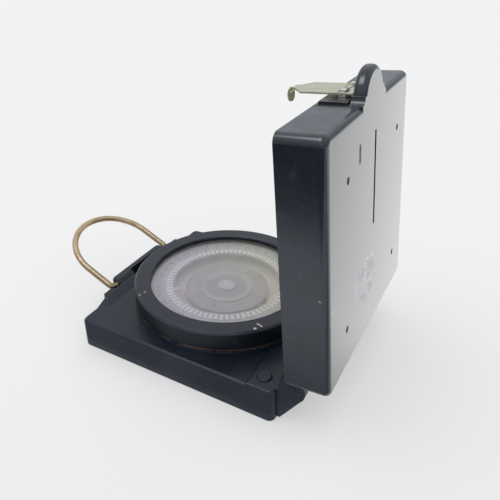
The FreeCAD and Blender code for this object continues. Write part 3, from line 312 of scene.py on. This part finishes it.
def leaf_look():
    """The catch's leaf in greenish nickel, with a browner hook."""
    look = plain_metal("leaf_nickel", (0.55, 0.55, 0.42), (0.42, 0.38, 0.24), 0.42, 2.5 * MM, 0.6, 0.2)
    hook = look.between(look.along(-LID_OUT, Vector((20.6 * MM, 0, 72 * MM))), 0.0, 0.8 * MM)
    look.paint(look.times(hook, 0.6), (0.27, 0.23, 0.12))
    return look.done()


def silvered(name, colour, stain, clouds=7 * MM, speckle=0.12, metallic=0.25):
    """Matt silvered brass, slightly yellowed in clouds."""
    look = Look(name, colour, 0.45, metallic)
    cloud = look.between(look.noise(clouds, 3), 0.35, 0.7)
    look.paint(look.times(cloud, 0.8), stain)
    specks = look.between(look.noise(0.25 * MM, 3), 0.66, 0.74)
    look.paint(look.times(specks, speckle), (0.20, 0.17, 0.15))
    look.bump(look.noise(0.12 * MM, 2), 0.006 * MM, 0.6)
    return look


def hub_look():
    """The hub's disc: silvered at its rim and stained a brownish violet round its middle."""
    look = silvered("grey_hub", (0.40, 0.37, 0.37), (0.32, 0.29, 0.29), 4 * MM)
    ragged = look.sums("ADD", look.distance(polar(0, 0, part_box("hub_disc")[1].z)),
                       look.between(look.noise(2 * MM, 3), 0.2, 0.8, -1 * MM, 1 * MM))
    look.paint(look.between(ragged, 5.2 * MM, 6.6 * MM, 0.85, 0.0), (0.24, 0.20, 0.25))
    return look


def glass_look():
    """Old glass under a thin haze, its tint painted lilac on one side of the dial and yellowish on the
    other: a painted colour cast of the light.
    """
    look = Look("dial_glass", (0.93, 0.92, 0.97), 0.03, Transmission_Weight=0.92, IOR=1.5)
    # Painted colour cast: the tint turns from lilac to yellowish across the dial, standing in for the
    # light's colour.
    side = look.along((ALONG + SIDEWAYS).normalized(), ORIGIN)
    look.paint(look.between(side, -12 * MM, 20 * MM), (1.0, 1.0, 0.90))
    haze = look.between(look.noise(6 * MM, 3), 0.3, 0.8)
    look.vary("Roughness", haze, 0.015, 0.06)
    return look.done()


def mirror_look():
    look = Look("mirror_silver", (0.86, 0.88, 0.88), 0.04, metallic=1.0)
    specks = look.between(look.noise(0.5 * MM, 5), 0.66, 0.72)
    look.paint(look.times(specks, 0.5), (0.20, 0.18, 0.16))
    look.vary("Roughness", look.noise(5 * MM, 4), 0.01, 0.10)
    return look.done()


def rubber_look():
    look = Look("rubber", (0.025, 0.025, 0.026), 0.75)
    look.paint(look.between(look.noise(2 * MM, 3), 0.5, 0.8, 0, 0.5), (0.06, 0.06, 0.06))
    look.bump(look.noise(0.2 * MM, 3), 0.02 * MM, 0.5)
    return look.done()


def marking(name, colour):
    look = Look(name, colour, 0.5)
    look.paint(look.between(look.noise(0.8 * MM, 3), 0.45, 0.75, 0, 0.5), (0.45, 0.38, 0.32))
    look.paint(look.spot(polar(25.4 * MM, -128, 16.3 * MM), 3 * MM), (0.20, 0.17, 0.17))
    look.bump(look.noise(0.15 * MM, 2), 0.01 * MM, 0.5)
    return look.done()


def ink_look():
    look = Look("dial_ink", (0.12, 0.11, 0.15), 0.6)
    look.paint(look.between(look.noise(0.6 * MM, 3), 0.45, 0.75, 0, 0.5), (0.26, 0.25, 0.28))
    return look.done()


def cell_look():
    look = Look("dial_cells", (0.74, 0.74, 0.77), 0.5)
    look.paint(look.between(look.noise(1.5 * MM, 3), 0.45, 0.75, 0, 0.5), (0.66, 0.63, 0.60))
    look.bump(look.noise(0.15 * MM, 2), 0.01 * MM, 0.5)
    return look.done()


# ---------------------------------------------------------------- which node wears which material

LOOKS = {
    "lid": lid_enamel(),
    "bracket": bracket_enamel(),
    "base": base_enamel(),
    "bezel": bezel_enamel(),
    "brass": plain_metal("aged_brass", (0.40, 0.28, 0.15), (0.20, 0.13, 0.08), 0.4).done(),
    "bail": bail_look(),
    "nickel": plain_metal("worn_nickel", (0.72, 0.70, 0.64), (0.34, 0.27, 0.15), 0.22, 0.9 * MM).done(),
    "leaf": leaf_look(),
    "steel": plain_metal("steel", (0.42, 0.42, 0.43), (0.22, 0.19, 0.17), 0.35).done(),
    "ring": silvered("silvered_ring", (0.43, 0.41, 0.45), (0.39, 0.36, 0.35)).done(),
    "card": silvered("silvered_card", (0.34, 0.31, 0.32), (0.26, 0.24, 0.24), 4 * MM).done(),
    "hub": hub_look().done(),
    "cap": silvered("jewel_cap", (0.56, 0.53, 0.59), (0.44, 0.41, 0.46), 1.5 * MM).done(),
    # the dial plate's very pale colour is partly painted light, lifting it where it lies in shade under the
    # card
    "plate": silvered("dial_plate", (0.88, 0.82, 0.74), (0.80, 0.74, 0.65), metallic=0.0).done(),
    "pointer": silvered("pointer_paint", (0.62, 0.50, 0.42), (0.50, 0.40, 0.33), 2 * MM, 0.3).done(),
    "pendulum": plain_metal("pendulum_brass", (0.75, 0.55, 0.33), (0.50, 0.36, 0.20), 0.35).done(),
    "glass": glass_look(),
    "mirror": mirror_look(),
    "rubber": rubber_look(),
    "mark": marking("index_paint", (0.50, 0.44, 0.37)),
    "ink": ink_look(),
    "cell": cell_look(),
}

WORN_BY = {
    "lid": ["lid_shell"],
    "bracket": ["latch_bracket"],
    "base": ["base_case", "bottom_cover", "bezel_seat_ring", "bail_block", "lock_plunger", "hinge_pin"],
    "bezel": ["bezel_ring", "glass_spacer_ring"],
    "brass": ["hinge_washers", "pivot_bridge", "lever_bracket", "ring_carrier", "mirror_nuts", "lift_lever",
              "lift_collar", "card_rivets"],
    "pointer": ["index_pointer"],
    "pendulum": ["clinometer_pendulum"],
    "bail": ["bail_wire"],
    "nickel": ["latch_pin", "ear_rivets"],
    "leaf": ["latch_leaf"],
    "steel": ["bottom_cover_screws", "seat_ring_screws", "bridge_screws", "pivot_post", "bezel_wave_spring",
              "lever_pin", "plunger_spring", "snap_ring", "card_magnets", "latch_springs"],
    "ring": ["graduated_ring"],
    "card": ["card_disc"],
    "hub": ["hub_disc"],
    "cap": ["jewel_cap"],
    "plate": ["dial_plate"],
    "glass": ["dial_glass"],
    "mirror": ["mirror"],
    "rubber": ["glass_gasket", "mirror_backing", "mirror_screws"],
    "mark": ["bezel_index_marks"],
}


def dress_nodes():
    for look, names in WORN_BY.items():
        for name in names:
            NODES[name].data.materials.clear()
            NODES[name].data.materials.append(LOOKS[look])


# ---------------------------------------------------------------- mesh helpers

def add_piece(name, bm, body, look):
    """Turn a finished bmesh into a named piece that rides on a CAD body."""
    bmesh.ops.remove_doubles(bm, verts=bm.verts, dist=0.001 * MM)
    bmesh.ops.recalc_face_normals(bm, faces=bm.faces)
    mesh = bpy.data.meshes.new(name)
    bm.to_mesh(mesh)
    bm.free()
    mesh.materials.append(look)
    item = bpy.data.objects.new(name, mesh)
    bpy.context.scene.collection.objects.link(item)
    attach(item, body)
    return item


def sector(bm, inner, outer, start, end, low, high, steps):
    """A closed block between two radii and two angles, standing from low to high."""
    rows = []
    for step in range(steps + 1):
        angle = start + (end - start) * step / steps
        rows.append([bm.verts.new(polar(radius, angle, height))
                     for radius, height in ((inner, low), (outer, low), (outer, high), (inner, high))])
    for first, second in zip(rows, rows[1:]):
        for index in range(4):
            after = (index + 1) % 4
            bm.faces.new((first[index], first[after], second[after], second[index]))
    bm.faces.new(rows[0])
    bm.faces.new(list(reversed(rows[-1])))


# ---------------------------------------------------------------- the graduated ring and the card

CELL_INNER, CELL_OUTER, CELL_HALF_ANGLE = 16.1 * MM, 18.1 * MM, 1.6
TICK_INNER, TICK_OUTER, TICK_HALF_ANGLE = 21.5 * MM, 22.35 * MM, 0.14
TEN_INNER, TEN_OUTER, TEN_HALF_ANGLE = 18.3 * MM, 18.9 * MM, 0.35
NUMBER_RADIUS, NUMBER_SIZE = 20.1 * MM, 1.9 * MM
SCALE_INNER, SCALE_OUTER, SCALE_HALF_ANGLE = 11.7 * MM, 12.3 * MM, 0.3
CIRCLE_INNER, CIRCLE_OUTER, CIRCLE_STEPS = 11.45 * MM, 11.55 * MM, 120


def marks_around(bm, every, inner, outer, half_angle, low, high, steps=1):
    """Equal small blocks all the way round a circle, one for every so many degrees."""
    for degrees in range(0, FULL_TURN, every):
        sector(bm, inner, outer, degrees - half_angle, degrees + half_angle, low, high, steps)


def dial_cells():
    """White cells, one for every five degrees, round the inside of the graduated ring."""
    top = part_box("graduated_ring")[1].z
    bm = bmesh.new()
    marks_around(bm, 5, CELL_INNER, CELL_OUTER, CELL_HALF_ANGLE, top, top + 2 * FLAT, 2)
    return add_piece("dial_cells", bm, "bezel", LOOKS["cell"])


def dial_ticks():
    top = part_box("graduated_ring")[1].z
    bm = bmesh.new()
    marks_around(bm, 2, TICK_INNER, TICK_OUTER, TICK_HALF_ANGLE, top, top + FLAT)
    marks_around(bm, 10, TEN_INNER, TEN_OUTER, TEN_HALF_ANGLE, top, top + FLAT)
    return add_piece("dial_ticks", bm, "bezel", LOOKS["ink"])


def dial_numbers():
    """The ring's plain numbers, every ten degrees, read from the middle of the dial."""
    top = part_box("graduated_ring")[1].z
    bm = bmesh.new()
    for degrees in range(0, FULL_TURN, 10):
        curve = bpy.data.curves.new("number", "FONT")
        curve.body = str(degrees)
        curve.size = NUMBER_SIZE
        curve.align_x = "CENTER"
        curve.align_y = "CENTER"
        curve.extrude = FLAT
        curve.resolution_u = 3
        holder = bpy.data.objects.new("number", curve)
        bpy.context.scene.collection.objects.link(holder)
        bpy.context.view_layer.update()
        drawn = holder.evaluated_get(bpy.context.evaluated_depsgraph_get())
        letters = bpy.data.meshes.new_from_object(drawn)
        letters.transform(Matrix.Translation(polar(NUMBER_RADIUS, degrees, top))
                          @ Matrix.Rotation(math.radians(degrees - 90), 4, "Z"))
        bm.from_mesh(letters)
        bpy.data.objects.remove(holder)
        bpy.data.meshes.remove(letters)
    return add_piece("dial_numbers", bm, "bezel", LOOKS["ink"])


def card_scale():
    """Fine division of the card's rim, with an engraved circle."""
    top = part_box("card_disc")[1].z
    bm = bmesh.new()
    marks_around(bm, 4, SCALE_INNER, SCALE_OUTER, SCALE_HALF_ANGLE, top, top + FLAT)
    sector(bm, CIRCLE_INNER, CIRCLE_OUTER, 0, FULL_TURN, top, top + FLAT, CIRCLE_STEPS)
    return add_piece("card_scale", bm, "card", LOOKS["ink"])


# ---------------------------------------------------------------- floor, lights and camera

def flat_card(name, corners, material):
    mesh = bpy.data.meshes.new(name)
    mesh.from_pydata(corners, [], [(0, 1, 2, 3)])
    mesh.materials.append(material)
    item = bpy.data.objects.new(name, mesh)
    bpy.context.scene.collection.objects.link(item)
    return item


def rectangle(low_x, low_y, high_x, high_y, height=0.0):
    corners = ((low_x, low_y), (high_x, low_y), (high_x, high_y), (low_x, high_y))
    return [(x, y, height) for x, y in corners]


def floor():
    """A pale sheet lit partly from below, so that the shadows stay light, with painted shade darkening it
    towards the front.
    """
    look = Look("floor_paper", (FLOOR_ALBEDO,) * 3, 0.9, Emission_Color=(*FLOOR_GLOW_COLOUR, 1.0),
                Emission_Strength=FLOOR_GLOW, Specular_IOR_Level=0.0)
    # Painted shade: the floor is painted darker towards the front.
    ahead = look.along(-SIDEWAYS, ORIGIN)
    look.paint(look.between(ahead, *FLOOR_SHADE_SPAN), (FLOOR_SHADED_ALBEDO,) * 3)
    look.bump(look.noise(0.4 * MM, 2), 0.02 * MM, 0.2)
    flat_card("floor", rectangle(-FLOOR_HALF, -FLOOR_HALF, FLOOR_HALF, FLOOR_HALF), look.done())


def reflected_card(name, corners, brightness, tint=(1.0, 1.0, 1.0)):
    """A studio card that shows only in reflections; brightness makes its strength from its look."""
    look = Look(name, (0.02, 0.02, 0.02), 0.9, Emission_Color=(*tint, 1.0))
    look.feed(look.shader.inputs["Emission Strength"], brightness(look))
    item = flat_card(name, corners, look.done())
    item.visible_camera = False
    item.visible_shadow = False
    item.visible_diffuse = False
    item.visible_transmission = False


FLOOR_HALF = 4.0
FLOOR_ALBEDO = 0.46
FLOOR_SHADED_ALBEDO = 0.40
FLOOR_SHADE_SPAN = (0.03, 0.12)
FLOOR_GLOW = 0.42
FLOOR_GLOW_COLOUR = (1.0, 1.0, 1.0)
COOL = (0.88, 0.94, 1.0)
SKY_LOW_COLOUR = (0.86, 0.93, 1.0, 1.0)
SKY_HIGH_COLOUR = (0.99, 0.99, 1.0, 1.0)
SKY_LOW, SKY_HIGH = 0.6, 1.12
SKY_RISE = (0.05, 0.65)
CARD_LIFT = 0.001
# the cards' low and high corners, and the distances over which their brightness changes
FRONT_CARD = (-0.6, -0.9, 0.6, -0.031)
FRONT_RISE, FRONT_FALL = (0.031, 0.075), (0.095, 0.155)
FRONT_DIM, FRONT_BRIGHT, FRONT_DARK = 0.4, 1.25, 0.02
BACK_CARD = (0.046, -0.03, 0.5, 0.6)
BACK_RISE = (-0.03, 0.02)
BACK_DIM, BACK_BRIGHT = 0.9, 1.85
TOP_CARD = (-0.5, -0.6, 0.3, 0.1)
TOP_CENTRE = Vector((-0.12, -0.25, 0.7))
TOP_FALL = (0.05, 0.32)
TOP_BRIGHT = 8.0


def front_brightness(look):
    """Dim by the compass's foot, brightest a little way in front of it and dark farther out."""
    ahead = look.along(-SIDEWAYS, ORIGIN)
    near = look.between(ahead, *FRONT_RISE, FRONT_DIM, FRONT_BRIGHT)
    return look.times(near, look.between(ahead, *FRONT_FALL, 1.0, FRONT_DARK))


def back_brightness(look):
    """Rising from the floor's own brightness level with the lid's near corner."""
    return look.between(look.along(SIDEWAYS, ORIGIN), *BACK_RISE, BACK_DIM, BACK_BRIGHT)


def top_brightness(look):
    """A round soft light high over the near side."""
    return look.between(look.distance(TOP_CENTRE), *TOP_FALL, TOP_BRIGHT, SKY_HIGH)


def studio():
    """A soft dome that is brighter overhead than at the horizon, with cards for the reflections."""
    world = bpy.data.worlds.new("studio")
    world.use_nodes = True
    nodes, links = world.node_tree.nodes, world.node_tree.links
    background = nodes["Background"]
    direction = nodes.new("ShaderNodeSeparateXYZ")
    links.new(nodes.new("ShaderNodeTexCoord").outputs["Generated"], direction.inputs[0])
    ramp = nodes.new("ShaderNodeMapRange")
    ramp.interpolation_type = "SMOOTHSTEP"
    ramp.inputs["From Min"].default_value, ramp.inputs["From Max"].default_value = SKY_RISE
    links.new(direction.outputs["Z"], ramp.inputs["Value"])
    for kind, places, low, high, target in (
            ("FLOAT", MIX_NUMBERS, SKY_LOW, SKY_HIGH, "Strength"),
            ("RGBA", MIX_COLOURS, SKY_LOW_COLOUR, SKY_HIGH_COLOUR, "Color")):
        mix = nodes.new("ShaderNodeMix")
        mix.data_type = kind
        first, second, result = places
        mix.inputs[first].default_value = low
        mix.inputs[second].default_value = high
        links.new(ramp.outputs["Result"], mix.inputs["Factor"])
        links.new(mix.outputs[result], background.inputs[target])
    bpy.context.scene.world = world
    reflected_card("front_card", rectangle(*FRONT_CARD, CARD_LIFT), front_brightness, COOL)
    reflected_card("back_card", rectangle(*BACK_CARD, CARD_LIFT), back_brightness)
    reflected_card("top_card", rectangle(*TOP_CARD, TOP_CENTRE.z), top_brightness, COOL)
    bpy.context.scene.view_settings.view_transform = "Standard"


EYE = Vector((69.09, -116.93, 106.01)) * MM
AIM = Vector((-0.46862, 0.77101, -0.43121))
ROLL = math.radians(-1.832)
LENS = 39.23
SENSOR = 36.0
SHIFT = (0.0634, -0.1035)
CLIP = (0.005, 20.0)


def camera():
    data = bpy.data.cameras.new("camera")
    data.lens = LENS
    data.sensor_width = SENSOR
    data.shift_x, data.shift_y = SHIFT
    data.clip_start, data.clip_end = CLIP
    item = bpy.data.objects.new("camera", data)
    forward = AIM.normalized()
    level = forward.cross(Vector((0, 0, 1))).normalized()
    upright = level.cross(forward)
    right = math.cos(ROLL) * level + math.sin(ROLL) * upright
    up = -math.sin(ROLL) * level + math.cos(ROLL) * upright
    turn = Matrix((right, up, -forward)).transposed().to_4x4()
    item.matrix_world = Matrix.Translation(EYE) @ turn
    bpy.context.scene.collection.objects.link(item)
    bpy.context.scene.camera = item


dress_nodes()
dial_cells()
dial_ticks()
dial_numbers()
card_scale()
floor()
studio()
camera()
